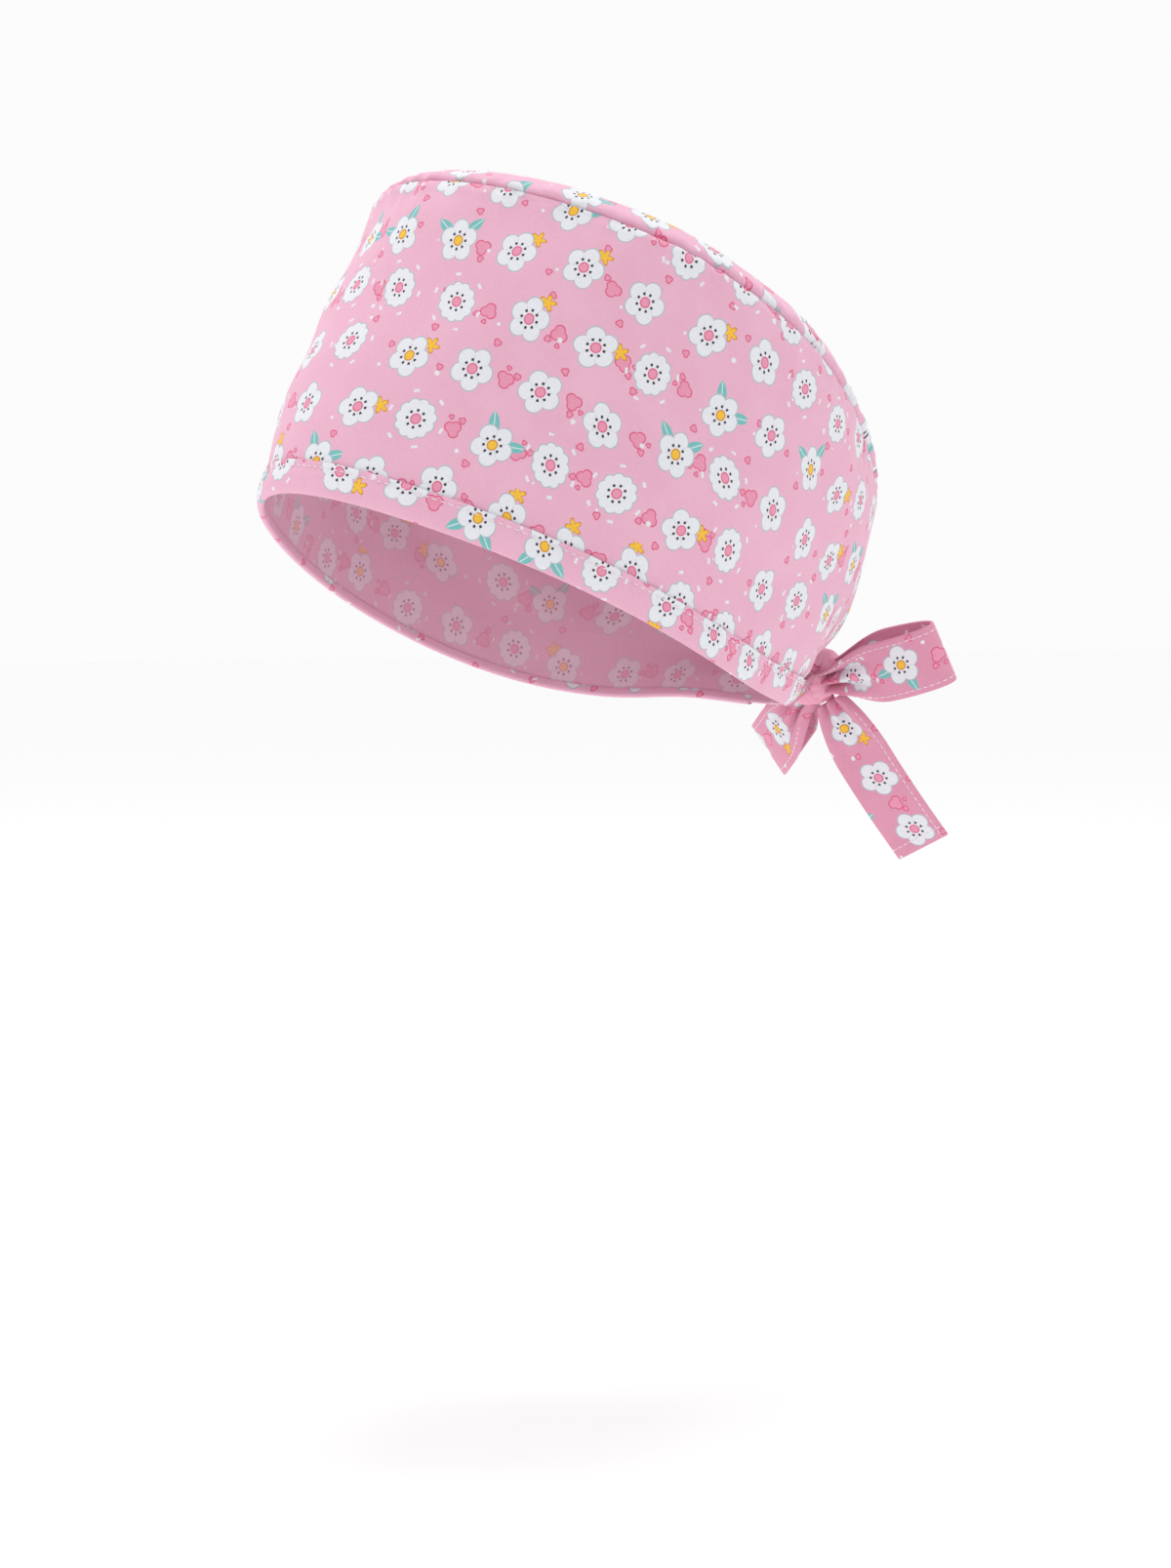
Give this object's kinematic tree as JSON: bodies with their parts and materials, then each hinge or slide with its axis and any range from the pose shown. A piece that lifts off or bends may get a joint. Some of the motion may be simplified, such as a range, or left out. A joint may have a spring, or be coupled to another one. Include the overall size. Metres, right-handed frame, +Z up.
{
  "type": "scrub cap",
  "caption": "Tie-back scrub cap of printed cotton in its worn form: side band, crown panel, turned-up hem cuff and a strap tied in a bow at the back",
  "frame": {"origin": "centre of the head opening, the ring of the hem", "axes": "+Z up, -Y is the way the wearer faces, +X is the wearer's left; the opening slopes down to the back by 20.9 degrees"},
  "size_m": [0.174, 0.2528, 0.2267],
  "materials": {
    "cap_cloth": "plain-woven cotton, matt with a faint sheen, all-over print on pink",
    "tie_cloth": "plain-woven cotton strap, folded and topstitched, same print"
  },
  "bodies": {
    "root": {"side_band": "cap_cloth", "crown_panel": "cap_cloth", "hem_cuff": "cap_cloth", "tie_strap_left": "tie_cloth", "tie_strap_right": "tie_cloth", "bow_knot": "tie_cloth", "bow_loop_left": "tie_cloth", "bow_loop_right": "tie_cloth", "tie_end_left": "tie_cloth", "tie_end_right": "tie_cloth"}
  },
  "joints": []
}
